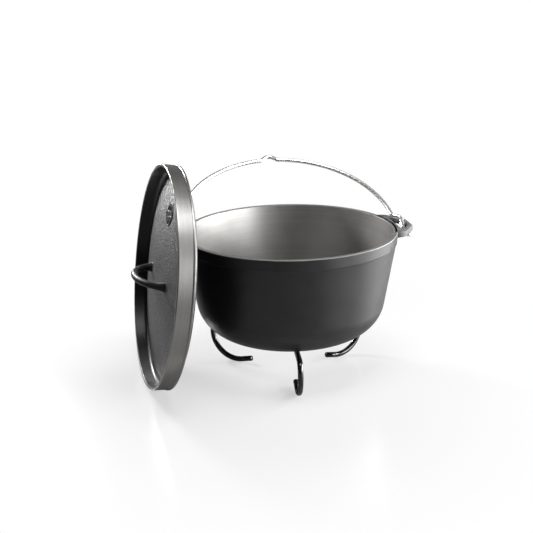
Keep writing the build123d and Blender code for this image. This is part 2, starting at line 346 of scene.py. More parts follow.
def wire_to_tube(bm, radius, share_at=None, around=7, cap_round=0.0005):
    """Sweeps a round section along a wire, and returns the tube as a bmesh.

    share_at takes a place on the wire and gives the share of the radius there. The two flat ends
    are the only faces with more than four corners.
    """
    mesh = bpy.data.meshes.new("wire_path")
    bm.to_mesh(mesh)
    bm.free()
    path = bpy.data.objects.new("wire_path", mesh)
    bpy.context.scene.collection.objects.link(path)
    with bpy.context.temp_override(
        object=path, active_object=path, selected_objects=[path], selected_editable_objects=[path]
    ):
        path.select_set(True)
        bpy.context.view_layer.objects.active = path
        bpy.ops.object.convert(target="CURVE")
    curve = path.data
    curve.dimensions = "3D"
    curve.bevel_depth = radius
    curve.bevel_resolution = around
    curve.use_fill_caps = True
    if share_at:
        for spline in curve.splines:
            for point in spline.points:
                point.radius = share_at(point.co)
    swept = path.evaluated_get(bpy.context.evaluated_depsgraph_get())
    tube_mesh = bpy.data.meshes.new_from_object(swept)
    bpy.data.objects.remove(path)
    tube = bmesh.new()
    tube.from_mesh(tube_mesh)
    bpy.data.meshes.remove(tube_mesh)
    close_shell(tube)
    if cap_round:
        caps = [face for face in tube.faces if len(face.verts) > 4]
        round_edges(tube, [edge for face in caps for edge in face.edges], cap_round, 3)
    return tube


# ---------------------------------------------------------------- shader helpers

class Reading:
    """One number in a node tree. Arithmetic on it adds Math nodes."""

    def __init__(self, recipe, socket):
        self.recipe = recipe
        self.socket = socket

    def join(self, operation, first, second):
        return self.recipe.node("ShaderNodeMath", {"operation": operation}, {0: first, 1: second})

    def __add__(self, other):
        return self.join("ADD", self, other)

    def __radd__(self, other):
        return self.join("ADD", other, self)

    def __sub__(self, other):
        return self.join("SUBTRACT", self, other)

    def __rsub__(self, other):
        return self.join("SUBTRACT", other, self)

    def __mul__(self, other):
        return self.join("MULTIPLY", self, other)

    def __rmul__(self, other):
        return self.join("MULTIPLY", other, self)

    def __pow__(self, other):
        return self.join("POWER", self, other)

    def __rpow__(self, other):
        return self.join("POWER", other, self)


class Recipe:
    """A node tree being written: a material's or the world's."""

    def __init__(self, owner):
        self.owner = owner
        owner.use_nodes = True
        self.tree = owner.node_tree
        self.tree.nodes.clear()

    def node(self, kind, settings=None, inputs=None, output=0):
        """Adds one node, with its settings first, then its inputs, and reads one of its outputs."""
        made = self.tree.nodes.new(kind)
        for key, value in (settings or {}).items():
            setattr(made, key, value)
        for key, value in (inputs or {}).items():
            if isinstance(value, Reading):
                self.tree.links.new(value.socket, made.inputs[key])
            else:
                made.inputs[key].default_value = value
        return Reading(self, made.outputs[output]) if len(made.outputs) else None

    def spot(self):
        """The object's own coordinates."""
        return self.node("ShaderNodeTexCoord", output="Object")

    def noise(self, vector, scale, detail, rough):
        """Cloudy noise, with a scale per metre."""
        return self.node(
            "ShaderNodeTexNoise", {"noise_dimensions": "3D"},
            {"Vector": vector, "Scale": scale, "Detail": detail, "Roughness": rough},
        )

    def fade(self, value, low, high, to_low=0.0, to_high=1.0):
        """Maps a range of a value smoothly onto another range."""
        return self.node(
            "ShaderNodeMapRange", {"interpolation_type": "SMOOTHSTEP", "clamp": True},
            {"Value": value, "From Min": low, "From Max": high, "To Min": to_low, "To Max": to_high},
        )

    def mix(self, share_of_second, first, second):
        """A colour between two colours."""
        return self.node(
            "ShaderNodeMix", {"data_type": "RGBA", "blend_type": "MIX"},
            {"Factor": share_of_second, 6: first, 7: second}, output=2,
        )

    def bump(self, height, distance, strength=1.0, over=None):
        """A relief of a depth in metres, over another relief if one is given."""
        inputs = {"Height": height, "Distance": distance, "Strength": strength}
        if over is not None:
            inputs["Normal"] = over
        return self.node("ShaderNodeBump", {}, inputs)

    def finish(self, **sockets):
        """The shader itself, from its socket names with underscores for spaces, and the output."""
        inputs = {key.replace("_", " "): value for key, value in sockets.items()}
        shader = self.node("ShaderNodeBsdfPrincipled", {}, inputs)
        self.node("ShaderNodeOutputMaterial", {}, {"Surface": shader})
        return self.owner


def new_recipe(name):
    """A new material, to be written."""
    return Recipe(bpy.data.materials.new(name))


def rgba(value, scale):
    """A share of a colour, with full alpha."""
    return (value[0] * scale, value[1] * scale, value[2] * scale, 1.0)


def mottled(recipe, base, pattern, low, high, dark, light):
    """A base colour that goes from a darker to a lighter share of itself with a pattern."""
    return recipe.mix(recipe.fade(pattern, low, high), rgba(base, dark), rgba(base, light))


def own_spot(recipe, matrix):
    """A place in the coordinates of a section, for a piece that a matrix has moved."""
    spot = recipe.spot()
    if matrix is None:
        return spot
    inverse = matrix.inverted()
    return recipe.node(
        "ShaderNodeMapping", {"vector_type": "POINT"},
        {"Vector": spot, "Location": inverse.to_translation(), "Rotation": inverse.to_euler()},
    )


def radius_and_height(recipe, spot):
    """A place as its distance from the axis of turning and its height along it."""
    parts = recipe.node("ShaderNodeSeparateXYZ", {}, {0: spot})
    x, y, z = (Reading(recipe, output) for output in parts.socket.node.outputs)
    return (x * x + y * y) ** 0.5, z


def ring_field(recipe, radius, height, scale, detail):
    """Noise that depends only on radius and height, so it runs round the piece as tool marks do."""
    vector = recipe.node("ShaderNodeCombineXYZ", {}, {0: radius, 1: 0.0, 2: height})
    return recipe.noise(vector, scale, detail, rough=0.6)


# ---------------------------------------------------------------- finishes

def cast_skin(name, base, rough, grain, grain_depth, matrix=None, speckle=0.12, shine=0.5):
    """Seasoned cast iron: a fine sand grain, slow mottling and a satin coat of baked oil."""
    recipe = new_recipe(name)
    spot = own_spot(recipe, matrix)
    fine = recipe.noise(spot, scale=grain, detail=3.0, rough=0.6)
    pits = recipe.noise(spot, scale=grain * 0.45, detail=2.0, rough=0.5)
    cloud = recipe.noise(spot, scale=38.0, detail=5.0, rough=0.6)
    grained = recipe.bump(fine * 0.6 + pits * 0.4, distance=grain_depth)
    return recipe.finish(
        Base_Color=mottled(recipe, base, cloud, low=0.35, high=0.68, dark=0.75, light=1.35),
        Roughness=rough + (cloud - 0.5) * 0.16 + (fine - 0.5) * speckle,
        Normal=recipe.bump(cloud, distance=0.0001, strength=0.5, over=grained),
        Metallic=0.0,
        Specular_IOR_Level=shine,
    )


def turned_iron(name, base, rough, metal, matrix=None, marks=2600.0, mark_depth=0.00002):
    """Turned cast iron: fine tool rings, a little staining and a soft sheen."""
    recipe = new_recipe(name)
    spot = own_spot(recipe, matrix)
    radius, height = radius_and_height(recipe, spot)
    rings = ring_field(recipe, radius, height, scale=marks, detail=2.0)
    wide_rings = ring_field(recipe, radius, height, scale=marks * 0.12, detail=3.0)
    pores = recipe.noise(spot, scale=1100.0, detail=2.0, rough=0.5)
    stain = recipe.noise(spot, scale=24.0, detail=5.0, rough=0.62)
    stained_rings = stain * 0.55 + wide_rings * 0.45
    pored = recipe.bump(pores, distance=mark_depth * 1.2, strength=0.6)
    return recipe.finish(
        Base_Color=mottled(recipe, base, stained_rings, low=0.38, high=0.64, dark=0.92, light=1.06),
        Roughness=rough + (rings - 0.5) * 0.14 + (stain - 0.5) * 0.1,
        Normal=recipe.bump(rings * 0.7 + wide_rings * 0.3, distance=mark_depth, over=pored),
        Metallic=metal,
    )


def smooth_iron(name, base, rough=0.46, shine=0.2):
    """Hand-smoothed dark iron with a low orange-peel."""
    recipe = new_recipe(name)
    spot = recipe.spot()
    peel = recipe.noise(spot, scale=420.0, detail=3.0, rough=0.5)
    cloud = recipe.noise(spot, scale=60.0, detail=4.0, rough=0.6)
    return recipe.finish(
        Base_Color=mottled(recipe, base, cloud, low=0.35, high=0.65, dark=0.7, light=1.5),
        Roughness=rough + (cloud - 0.5) * 0.18,
        Normal=recipe.bump(peel, distance=0.00006),
        Metallic=0.0,
        Specular_IOR_Level=shine,
    )


def bright_wire(name, base, rough=0.27, metal=0.9):
    """Drawn stainless wire: long faint draw lines and a clear shine."""
    recipe = new_recipe(name)
    spot = recipe.spot()
    along_wire = (0.05, 1.0, 1.0)
    drawn = recipe.node("ShaderNodeVectorMath", {"operation": "MULTIPLY"}, {0: spot, 1: along_wire})
    lines = recipe.noise(drawn, scale=2400.0, detail=2.0, rough=0.5)
    cloud = recipe.noise(spot, scale=90.0, detail=3.0, rough=0.5)
    return recipe.finish(
        Base_Color=mottled(recipe, base, cloud, low=0.3, high=0.7, dark=0.92, light=1.05),
        Roughness=rough + (lines - 0.5) * 0.12,
        Normal=recipe.bump(lines, distance=0.00001, strength=0.6),
        Metallic=metal,
    )


def gloss_coat(name, base, rough=0.14):
    """Black coated wire: deep gloss with a slight wave in the coat."""
    recipe = new_recipe(name)
    spot = recipe.spot()
    wave = recipe.noise(spot, scale=240.0, detail=2.0, rough=0.5)
    dust = recipe.noise(spot, scale=900.0, detail=4.0, rough=0.7)
    return recipe.finish(
        Base_Color=mottled(recipe, base, dust, low=0.55, high=0.75, dark=1.0, light=2.5),
        Roughness=rough + recipe.fade(dust, low=0.5, high=0.8) * 0.12,
        Normal=recipe.bump(wave, distance=0.00005, strength=0.5),
        Metallic=0.0,
    )


# ---------------------------------------------------------------- pot

def pot_section(sizes, low, high):
    """The pot's section, from the middle of the base round the rim to the middle of the floor."""
    base_height, rim_height, rim_radius = low.z, high.z, high.x
    floor_height = base_height + sizes.floor_thickness
    band_foot_z = rim_height - sizes.band_height
    inner_top = rim_radius - sizes.rim_land
    inner_floor = inner_top - sizes.wall_slope * (rim_height - floor_height)

    def wall(z):
        return sizes.wall_top - sizes.wall_slope * (rim_height - z)

    corners = [
        (place(wall(base_height), base_height), sizes.bottom_round, 18),
        (place(wall(band_foot_z), band_foot_z), sizes.band_step * 0.5, 3),
        (place(sizes.band_foot, band_foot_z + sizes.band_step), sizes.band_step * 0.5, 3),
        (place(rim_radius, rim_height), sizes.edge_round, 5),
        (place(inner_top, rim_height), sizes.edge_round, 5),
        (place(inner_floor, floor_height), sizes.bottom_round - sizes.wall_offset, 18),
    ]
    bm, last = start_wire(place(0.0, base_height))
    made = []
    for point, radius, segments in corners:
        last = run(bm, last, point)
        made.append((last, radius, segments))
    run(bm, last, place(0.0, floor_height))
    for corner, radius, segments in made:
        round_corner(bm, corner, radius, segments)
    guard_runs(bm)
    return bm


class BuildPot(bpy.types.Operator):
    """Builds the pot: one turned and cast shell with a band under its rim"""

    bl_idname = "dutch_oven.build_pot"
    bl_label = "Build Pot"

    def execute(self, context):
        sizes = context.scene.oven_pot
        low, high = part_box("pot_body")
        bm = pot_section(sizes, low, high)
        spin_full(bm, SHELL_STEPS)
        rim_colour = [part * sizes.land_shade for part in sizes.turned]
        finishes = [
            cast_skin("pot_cast_skin", sizes.skin, rough=0.42, grain=1400.0, grain_depth=0.00003),
            turned_iron("pot_turned_inside", sizes.turned, rough=0.42, metal=0.85),
            turned_iron("pot_rim_land", rim_colour, rough=0.5, metal=0.4),
        ]
        outside, inside, land = range(len(finishes))
        for face in bm.faces:
            centre, normal = face.calc_center_median(), face.normal
            inward = normal.x * centre.x + normal.y * centre.y < 0.0
            faces_up = normal.z > 0.3 and centre.z > low.z + sizes.floor_thickness / 2
            face.material_index = inside if inward or faces_up else outside
            if faces_up and centre.z > high.z - sizes.edge_round * 2:
                face.material_index = land
        make_piece(bm, "pot_shell", "pot", ["pot_body"], finishes)
        return {"FINISHED"}


# ---------------------------------------------------------------- ears

def ear_outline(sizes):
    """Half of the ear's flat outline, as one face on the side of positive Y.

    The straight side meets the circle inside the wall where a quadratic in its own length is zero.
    """
    side_run = Vector((sizes.shoulder - sizes.root_x, sizes.shoulder_half - sizes.root_half, 0.0))
    foot = Vector((sizes.root_x, sizes.root_half, 0.0))
    a, b, c = side_run.dot(side_run), 2 * foot.dot(side_run), foot.dot(foot) - sizes.root**2
    foot = foot + side_run * ((-b + sqrt(b * b - 4 * a * c)) / (2 * a))
    bm, first = start_wire(Vector((sizes.root, 0.0, 0.0)))
    root_end = arc(bm, first, ORIGIN, atan2(foot.y, foot.x), 8, UP)
    shoulder = run(bm, root_end, Vector((sizes.shoulder, sizes.shoulder_half, 0.0)))
    nose = run(bm, shoulder, Vector((sizes.nose, sizes.nose_half, 0.0)))
    slot_outer = run(
        bm, nose, Vector((sizes.nose, 0.0, 0.0)), Vector((sizes.slot_outer, 0.0, 0.0)),
        Vector((sizes.slot_outer, sizes.slot_outer_half, 0.0)),
    )
    slot_inner = run(bm, slot_outer, Vector((sizes.slot_inner, sizes.slot_inner_half, 0.0)))
    last = run(bm, slot_inner, Vector((sizes.slot_inner, 0.0, 0.0)))
    bm.edges.new((last, first))
    round_corner(bm, shoulder, sizes.shoulder_round, 8)
    round_corner(bm, nose, sizes.nose_round, 8)
    round_corner(bm, slot_outer, sizes.slot_outer_round, 6)
    round_corner(bm, slot_inner, sizes.slot_inner_round, 6)
    bmesh.ops.edgenet_fill(bm, edges=bm.edges[:])
    return bm


def ear_rims(bm, sizes, least_turn=1.0, level_within=1e-5, clear_of_root=1e-4):
    """The sharp edges round both flats of an ear, without those inside the pot's wall."""
    rims = []
    for edge in bm.edges:
        ends = [vert.co for vert in edge.verts]
        sharp = len(edge.link_faces) == 2 and edge.calc_face_angle() > least_turn
        level = abs(ends[0].z - ends[1].z) < level_within
        outside = (ends[0].xy.length + ends[1].xy.length) / 2 > sizes.root + clear_of_root
        if sharp and level and outside:
            rims.append(edge)
    return rims


class BuildEars(bpy.types.Operator):
    """Builds the two ears: flat cast loops that hold the bail"""

    bl_idname = "dutch_oven.build_ears"
    bl_label = "Build Ears"

    def execute(self, context):
        sizes = context.scene.oven_ears
        skin = cast_skin(
            "ear_cast_skin", sizes.skin, rough=0.75, grain=1400.0, grain_depth=0.00004, shine=0.08
        )
        for node, mirrored in (("right_ear", False), ("left_ear", True)):
            low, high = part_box(node)
            bm = ear_outline(sizes)
            half = bm.verts[:] + bm.edges[:] + bm.faces[:]
            bmesh.ops.mirror(bm, geom=half, axis="Y", merge_dist=MERGE)
            grown = bmesh.ops.extrude_face_region(bm, geom=bm.faces[:])
            lifted = [item for item in grown["geom"] if isinstance(item, bmesh.types.BMVert)]
            bmesh.ops.translate(bm, verts=lifted, vec=(0.0, 0.0, high.z - low.z))
            close_shell(bm)
            round_edges(bm, ear_rims(bm, sizes), sizes.edge_round, 5, loop_slide=False)
            # Only the two flats have this many corners.
            flats = [face for face in bm.faces if len(face.verts) > 12]
            bmesh.ops.inset_region(bm, faces=flats, thickness=sizes.flat_inset)
            bmesh.ops.translate(bm, verts=bm.verts[:], vec=(0.0, 0.0, low.z))
            if mirrored:
                bmesh.ops.scale(bm, verts=bm.verts[:], vec=(-1.0, 1.0, 1.0))
                close_shell(bm)
            make_piece(bm, node + "_loop", "pot", [node], [skin])
        return {"FINISHED"}


# ---------------------------------------------------------------- bail

def bail_path(sizes):
    """Half of the bail's centreline in its own plane, mirrored to the whole."""
    centre = place(0.0, sizes.arch_centre)

    def on_arch(out):
        return place(out, sizes.arch_centre + sqrt(sizes.arch_radius**2 - out * out))

    def along_arch(out):
        return place(sqrt(sizes.arch_radius**2 - out * out), -out) / sizes.arch_radius

    arch_start = sizes.crimp_foot_half + sizes.crimp_lead
    arch_end = sqrt(sizes.arch_radius**2 - (sizes.arch_end - sizes.arch_centre) ** 2)
    top = sizes.arch_centre + sizes.arch_radius + sizes.crimp_rise
    bm, first = start_wire(place(0.0, top))
    crimp_top = run(bm, first, place(sizes.crimp_top_half, top))
    lead = along_arch(arch_start) * sizes.crimp_lead
    crimp_foot = run(bm, crimp_top, on_arch(arch_start) - lead)
    start = run(bm, crimp_foot, on_arch(arch_start))
    sweep = asin(arch_end / sizes.arch_radius) - asin(arch_start / sizes.arch_radius)
    end = arc(bm, start, centre, sweep, 70)
    arm = run(bm, end, on_arch(arch_end) + along_arch(arch_end) * sizes.arm)
    shoulder = run(bm, arm, place(sizes.shoulder_out, sizes.shoulder_up))
    strand = run(bm, shoulder, place(sizes.strand, -sizes.foot_drop))
    run(bm, strand, place(sizes.foot_end, -sizes.foot_drop))
    for corner in (crimp_top, crimp_foot, arm, shoulder, strand):
        round_corner(bm, corner, sizes.bend, 8)
    bmesh.ops.mirror(bm, geom=bm.verts[:] + bm.edges[:], axis="X", merge_dist=MERGE)
    bmesh.ops.remove_doubles(bm, verts=bm.verts[:], dist=MERGE)
    return bm


class BuildBail(bpy.types.Operator):
    """Builds the bail: one length of bright round wire with a kink for a hook"""

    bl_idname = "dutch_oven.build_bail"
    bl_label = "Build Bail"

    def execute(self, context):
        sizes = context.scene.oven_bail
        swing = [joint for joint in frame["joints"] if joint["name"] == "bail_swing"][0]
        tube = wire_to_tube(bail_path(sizes), sizes.wire)
        lean = Matrix.Rotation(-sizes.lean, 4, "X")
        matrix = Matrix.Translation(Vector(swing["pos_m"])) @ lean
        steel = bright_wire("bail_bright_wire", sizes.steel)
        make_piece(tube, "bail_bent_wire", "bail", ["bail_wire"], [steel], matrix)
        return {"FINISHED"}


# ---------------------------------------------------------------- stand

def leg_path(sizes, arm_z):
    """The centreline of one leg, from the tip of its tail to the hub, in the plane of X and Z."""
    bend_z = sizes.wire + sizes.foot_bend
    tail_start = place(
        sizes.contact - sizes.foot_bend * sin(sizes.tail_turn),
        bend_z - sizes.foot_bend * cos(sizes.tail_turn),
    )
    tip = tail_start + place(-cos(sizes.tail_turn), sin(sizes.tail_turn)) * sizes.tail
    shoulder = arm_z - bend_z
    bm, first = start_wire(tip)
    start = run(bm, first, tail_start)
    top = arc(bm, start, place(sizes.contact, bend_z), -(pi / 2 + sizes.tail_turn), 34)
    inner = arc(bm, top, place(sizes.contact + sizes.foot_bend - shoulder, bend_z), -pi / 2, 16)
    run(bm, inner, place(sizes.hub, arm_z))
    return bm


class BuildStand(bpy.types.Operator):
    """Builds the stand: three bent and coated wires welded to a small ring"""

    bl_idname = "dutch_oven.build_stand"
    bl_label = "Build Stand"

    def execute(self, context):
        sizes = context.scene.oven_stand
        paint = gloss_coat("stand_black_coat", sizes.paint)
        arm_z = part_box("pot_body")[0].z - sizes.seat_gap - sizes.wire
        legs = ("front", "right", "left")
        turns = [
            Matrix.Rotation(sizes.front_leg + 2 * pi * number / len(legs), 4, "Z")
            for number in range(len(legs))
        ]
        for leg, matrix in zip(legs, turns):
            tube = wire_to_tube(leg_path(sizes, arm_z), sizes.wire, cap_round=0.0008)
            node = f"stand_leg_{leg}"
            make_piece(tube, f"stand_{leg}_leg", "stand", [node], [paint], matrix)
        ring = bmesh.new()
        bmesh.ops.create_circle(ring, segments=32, radius=sizes.wire)
        upright = Matrix.Rotation(pi / 2, 3, "X")
        bmesh.ops.rotate(ring, verts=ring.verts[:], cent=ORIGIN, matrix=upright)
        bmesh.ops.translate(ring, verts=ring.verts[:], vec=(sizes.hub, 0.0, arm_z))
        spin_full(ring, RING_STEPS)
        make_piece(ring, "stand_ring", "stand", ["stand_hub_ring"], [paint])
        beads = bmesh.new()
        place_of_bead = place(sizes.hub + sizes.wire + sizes.weld_reach, arm_z - sizes.weld_drop)
        for matrix in turns:
            bead = bmesh.ops.create_icosphere(beads, subdivisions=4, radius=sizes.weld)["verts"]
            bmesh.ops.scale(beads, verts=bead, vec=(1.0, 1.0, sizes.weld_squash))
            bmesh.ops.translate(beads, verts=bead, vec=place_of_bead)
            bmesh.ops.rotate(beads, verts=bead, cent=ORIGIN, matrix=matrix.to_3x3())
        make_piece(beads, "stand_weld_beads", "stand", ["stand_welds"], [paint])
        return {"FINISHED"}


# ---------------------------------------------------------------- lid

def dome_sphere(sizes):
    """Radius of the sphere that the plate's top is part of."""
    rise = sizes.dome_edge - sizes.dome_top
    return (sizes.dome**2 + rise**2) / (2 * rise)


def dome_depth(sizes, r):
    """Depth of the plate's top under the lip at radius r."""
    sphere = dome_sphere(sizes)
    return sizes.dome_top + sphere - sqrt(sphere**2 - r**2)


def lid_matrix(sizes):
    """Where the lid stands: X towards the viewer, Y up along the lid and Z out along its axis."""
    heading = pi + sizes.swing
    out = Vector((cos(heading) * cos(sizes.tilt), sin(heading) * cos(sizes.tilt), sin(sizes.tilt)))
    side = Vector((-sin(heading), cos(heading), 0.0))
    up = out.cross(side)
    centre = Vector((sizes.centre[0], sizes.centre[1], sizes.flange * up.z + sizes.seat * out.z))
    matrix = Matrix((side, up, out)).transposed().to_4x4()
    return Matrix.Translation(centre) @ matrix


def lid_section(sizes):
    """The lid's section, from the middle of the plate's top round the lip to the middle underneath."""
    sphere = dome_sphere(sizes)
    flange_top = sizes.flange_height - sizes.seat
    under_edge = sizes.skirt_inner - sizes.under_margin
    under_depth = dome_depth(sizes, under_edge) + sizes.plate
    bm, first = start_wire(place(0.0, -sizes.dome_top))
    dome_centre = place(0.0, -sizes.dome_top - sphere)
    last = arc(bm, first, dome_centre, asin(sizes.dome / sphere), 16)
    made = [(last, sizes.edge_round, 4)]
    plan = [
        (place(sizes.dome + sizes.plate_step, -sizes.channel), sizes.edge_round, 4),
        (place(sizes.channel_outer, -sizes.channel), sizes.channel_round, 8),
        (place(sizes.lip - sizes.lip_land, 0.0), sizes.edge_round, 6),
        (place(sizes.lip, 0.0), sizes.edge_round, 6),
        (place(sizes.band_foot, flange_top + sizes.flange_step), sizes.seat_round, 4),
        (place(sizes.flange, flange_top), sizes.flange_round, 4),
        (place(sizes.flange, -sizes.seat), sizes.seat_round, 4),
        (place(sizes.skirt_outer, -sizes.seat), sizes.edge_round, 4),
        (place(sizes.skirt_outer - sizes.skirt_draft, -sizes.skirt), sizes.edge_round, 5),
        (place(sizes.skirt_inner, -sizes.skirt), sizes.edge_round, 5),
        (place(sizes.skirt_inner - sizes.skirt_root, -under_depth), sizes.under_round, 5),
    ]
    for point, radius, segments in plan:
        last = run(bm, last, point)
        made.append((last, radius, segments))
    under = run(bm, last, place(under_edge, -under_depth))
    arc(bm, under, dome_centre, -asin(under_edge / sphere), 16)
    for corner, radius, segments in made:
        round_corner(bm, corner, radius, segments)
    guard_runs(bm)
    return bm


def lid_finish(sizes, face, plate, band, under, channel, hair=0.0002, step=0.001):
    """Which of four finishes a face of the lid has, from its place in the section."""
    centre = face.calc_center_median()
    radius = centre.xy.length
    on_top = face.normal.z > 0.2
    if on_top and radius < sizes.dome + hair:
        return plate
    inside_lip = radius < sizes.lip - sizes.lip_land and centre.z > -sizes.channel - hair
    faces_axis = face.normal.xy.dot(centre.xy) < 0.0
    if inside_lip and (on_top or faces_axis or radius < sizes.dome + 2 * step):
        return channel
    skirt_outside = radius < sizes.skirt_outer + step and not on_top
    if radius > sizes.skirt_outer - sizes.turned_reach and not skirt_outside:
        return band
    return under


class BuildLid(bpy.types.Operator):
    """Builds the lid: a sand cast plate inside a turned lip, standing on its edge"""

    bl_idname = "dutch_oven.build_lid"
    bl_label = "Build Lid"

    def execute(self, context):
        sizes = context.scene.oven_lid
        matrix = lid_matrix(sizes)
        bm = lid_section(sizes)
        on_axis = 0.0005
        for vert in bm.verts:
            if vert.co.x < on_axis:
                vert.co.x = 0.0
        spin_full(bm, SHELL_STEPS)
        finishes = [
            cast_skin(
                "lid_sand_cast", sizes.skin, rough=0.44, grain=480.0, grain_depth=0.0022, matrix=matrix,
                speckle=0.9,
            ),
            turned_iron("lid_turned_band", sizes.turned, rough=0.38, metal=0.9, matrix=matrix),
            cast_skin(
                "lid_under_skin", sizes.skin, rough=0.5, grain=900.0, grain_depth=0.0003, matrix=matrix
            ),
            # The channel's finish takes the painted shade colour, darker than the plate's skin, for the
            # shade in the recess inside the lip.
            cast_skin(
                "lid_channel_painted_shade", sizes.channel_painted_shade, rough=0.34, grain=1200.0, grain_depth=0.00006,
                matrix=matrix, shine=0.3,
            ),
        ]
        for face in bm.faces:
            face.material_index = lid_finish(sizes, face, *range(len(finishes)))
        make_piece(bm, "lid_plate_and_lip", "lid", ["lid_body"], finishes, matrix)
        return {"FINISHED"}


class BuildHandle(bpy.types.Operator):
    """Builds the lid's handle: a smooth cast loop with flared feet"""

    bl_idname = "dutch_oven.build_handle"
    bl_label = "Build Lid Handle"

    def execute(self, context):
        lid, sizes = context.scene.oven_lid, context.scene.oven_handle
        base = -dome_depth(lid, sizes.half_span) - sizes.sink
        rise = sizes.top - base
        bm, first = start_wire(place(sizes.half_span, 0.0))
        arc(bm, first, ORIGIN, -pi, 64)
        bmesh.ops.scale(bm, verts=bm.verts[:], vec=(1.0, 1.0, rise / sizes.half_span))
        bmesh.ops.translate(bm, verts=bm.verts[:], vec=(0.0, 0.0, base))

        def flare(point):
            over = min(max((point[2] - base) / sizes.foot_height, 0.0), 1.0)
            return 1.0 + (sizes.foot / sizes.bar - 1.0) * (1.0 - over) ** sizes.flare_power

        tube = wire_to_tube(bm, sizes.bar, flare, around=10, cap_round=0.0)
        skin = smooth_iron("handle_smooth_iron", sizes.skin)
        matrix = lid_matrix(lid)
        make_piece(tube, "lid_loop_handle", "lid", ["lid_handle"], [skin], matrix)
        return {"FINISHED"}


def badge_ring(bm, sizes, outer):
    """Adds one flat ring with rounded edges to the badge."""
    ring, first = start_wire(place(outer - sizes.bar, -sizes.sink))
    inner_top = run(ring, first, place(outer - sizes.bar, sizes.height))
    outer_top = run(ring, inner_top, place(outer, sizes.height))
    run(ring, outer_top, place(outer, -sizes.sink))
    round_corner(ring, inner_top, sizes.ring_round, 4)
    round_corner(ring, outer_top, sizes.ring_round, 4)
    bmesh.ops.spin(
        ring, geom=ring.verts[:] + ring.edges[:], cent=ORIGIN, axis=UP, angle=2 * pi,
        steps=RING_STEPS, use_merge=True,
    )
    bmesh.ops.bridge_loops(ring, edges=[edge for edge in ring.edges if len(edge.link_faces) == 1])
    close_shell(ring)
    mesh = bpy.data.meshes.new("badge_ring")
    ring.to_mesh(mesh)
    ring.free()
    bm.from_mesh(mesh)
    bpy.data.meshes.remove(mesh)


def badge_bar(bm, sizes, inner, outer, heading):
    """Adds one bar between the rings to the badge, with its top edges rounded."""
    top = sizes.height * sizes.bar_height
    bar = bmesh.ops.create_cube(bm, size=1.0)["verts"]
    bmesh.ops.scale(bm, verts=bar, vec=(outer - inner, sizes.bar, top + sizes.sink))
    bmesh.ops.translate(bm, verts=bar, vec=((inner + outer) / 2, 0.0, (top - sizes.sink) / 2))
    bmesh.ops.rotate(bm, verts=bar, cent=ORIGIN, matrix=Matrix.Rotation(heading, 3, "Z"))
    edges = {edge for vert in bar for edge in vert.link_edges}
    tops = [edge for edge in edges if all(end.co.z > 0.0 for end in edge.verts)]
    round_edges(bm, tops, sizes.bar_round, 3)


class BuildBadge(bpy.types.Operator):
    """Builds the lid's plain cast badge: two raised rings joined by bars"""

    bl_idname = "dutch_oven.build_badge"
    bl_label = "Build Lid Badge"

    def execute(self, context):
        lid, sizes = context.scene.oven_lid, context.scene.oven_badge
        bm = bmesh.new()
        small = sizes.radius / 3
        badge_ring(bm, sizes, sizes.radius)
        badge_ring(bm, sizes, small)
        half_bar = sizes.bar / 2
        for number in range(sizes.bars):
            heading = 2 * pi * number / sizes.bars
            badge_bar(bm, sizes, small - half_bar, sizes.radius - half_bar, heading)
        rise = Matrix.Translation((0.0, sizes.reach, -dome_depth(lid, sizes.reach)))
        lean = Matrix.Rotation(-sizes.reach / dome_sphere(lid), 4, "X")
        around = Matrix.Rotation(-sizes.around, 4, "Z")
        matrix = lid_matrix(lid) @ around @ rise @ lean
        skin = cast_skin("badge_cast_skin", lid.skin, rough=0.42, grain=700.0, grain_depth=0.0001)
        make_piece(bm, "lid_round_badge", "lid", ["lid_badge"], [skin], matrix)
        return {"FINISHED"}


# ---------------------------------------------------------------- stage

def softbox(name, azimuth, elevation, distance, width, height, power, target=(0.0, 0.0, 0.12)):
    """A soft area light that looks at a target.

    Azimuth 0 is in front of the object, less the lights' turn, and it grows to the object's right.
    """
    light = bpy.data.lights.new(name, "AREA")
    light.shape = "RECTANGLE"
    light.size, light.size_y = width, height
    light.energy = power
    lamp = bpy.data.objects.new(name, light)
    bpy.context.scene.collection.objects.link(lamp)
    heading = radians(azimuth) - bpy.context.scene.oven_stage.lights_turn
    climb = radians(elevation)
    out = Vector((sin(heading) * cos(climb), -cos(heading) * cos(climb), sin(climb)))
    lamp.location = Vector(target) + out * distance
    lamp.rotation_euler = (-out).to_track_quat("-Z", "Y").to_euler()
    lamp.visible_camera = False


